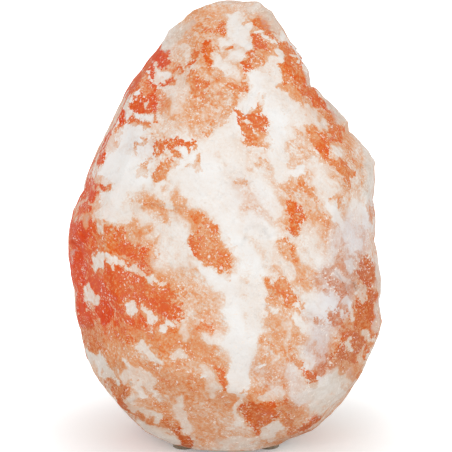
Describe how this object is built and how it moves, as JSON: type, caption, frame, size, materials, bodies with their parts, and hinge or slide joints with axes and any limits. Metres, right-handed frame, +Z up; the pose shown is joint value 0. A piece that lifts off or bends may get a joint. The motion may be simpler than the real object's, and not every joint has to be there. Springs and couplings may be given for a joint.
{
  "type": "salt crystal lamp",
  "caption": "Rough hewn block of orange and white rock salt, wider below than above, bored from below over a small screw bulb in a spring-clip holder.",
  "frame": {"origin": "on the table, under the middle of the crystal's outline and on the axis of its bore", "axes": "+Z up, +X to the right, +Y to the back, where the cord leaves; the pictured side faces -Y"},
  "size_m": [0.1639, 0.1435, 0.23],
  "materials": {
    "rock_salt": "rough hewn crystal, translucent",
    "felt": "pressed felt",
    "holder_plastic": "moulded, matt",
    "block_ceramic": "unglazed",
    "brass": "drawn sheet and turned posts",
    "screw_steel": "plated",
    "spring_steel": "bright spring strip",
    "solder": "dull solder",
    "dark_glass": null,
    "cap_metal": "rolled thread",
    "clear_glass": "clear",
    "bulb_wire": "drawn wire"
  },
  "bodies": {
    "lamp_unit": {"holder_cap": "holder_plastic", "cord_bush": "holder_plastic", "cord_grip_screw": "screw_steel", "holder_sleeve": "holder_plastic", "contact_block": "block_ceramic", "screw_shell": "brass", "shell_contact": "brass", "centre_contact": "brass", "terminal_post_left": "brass", "terminal_post_right": "brass", "terminal_screws": "screw_steel", "clip_band": "spring_steel"},
    "stone": {"salt_crystal": "rock_salt", "foot_pad_front_left": "felt", "foot_pad_front_right": "felt", "foot_pad_back_left": "felt", "foot_pad_back_right": "felt"},
    "wing_left": {"wing_left": "spring_steel"},
    "wing_right": {"wing_right": "spring_steel"},
    "bulb_tip": {"bulb_contact": "solder"},
    "bulb": {"bulb_insulator": "dark_glass", "bulb_cap": "cap_metal", "bulb_glass": "clear_glass", "bulb_stem": "clear_glass", "lead_wires": "bulb_wire", "filament": "bulb_wire"}
  },
  "joints": [
    {"name": "stone_lift", "type": "slide", "parent": "lamp_unit", "child": "stone", "axis": [0, 0, 1], "range_m": [0, 0.125]},
    {"name": "squeeze_left", "type": "hinge", "parent": "lamp_unit", "child": "wing_left", "pos_m": [-0.01505, 0, 0.0488], "axis": [0, -1, 0], "range_deg": [0, 7], "stiffness_Nm_per_rad": 1.2},
    {"name": "squeeze_right", "type": "hinge", "parent": "lamp_unit", "child": "wing_right", "pos_m": [0.01505, 0, 0.0488], "axis": [0, 1, 0], "range_deg": [0, 7], "stiffness_Nm_per_rad": 1.2},
    {"name": "bulb_rise", "type": "slide", "parent": "lamp_unit", "child": "bulb_tip", "axis": [0, 0, 1], "range_m": [0, 0.0113]},
    {"name": "bulb_turn", "type": "hinge", "parent": "bulb_tip", "child": "bulb", "pos_m": [0, 0, 0.06], "axis": [0, 0, 1], "range_deg": [0, 1440]}
  ],
  "couplings": [
    {"joint": "bulb_rise", "follows": "bulb_turn", "m_per_rad": 0.00044882}
  ]
}
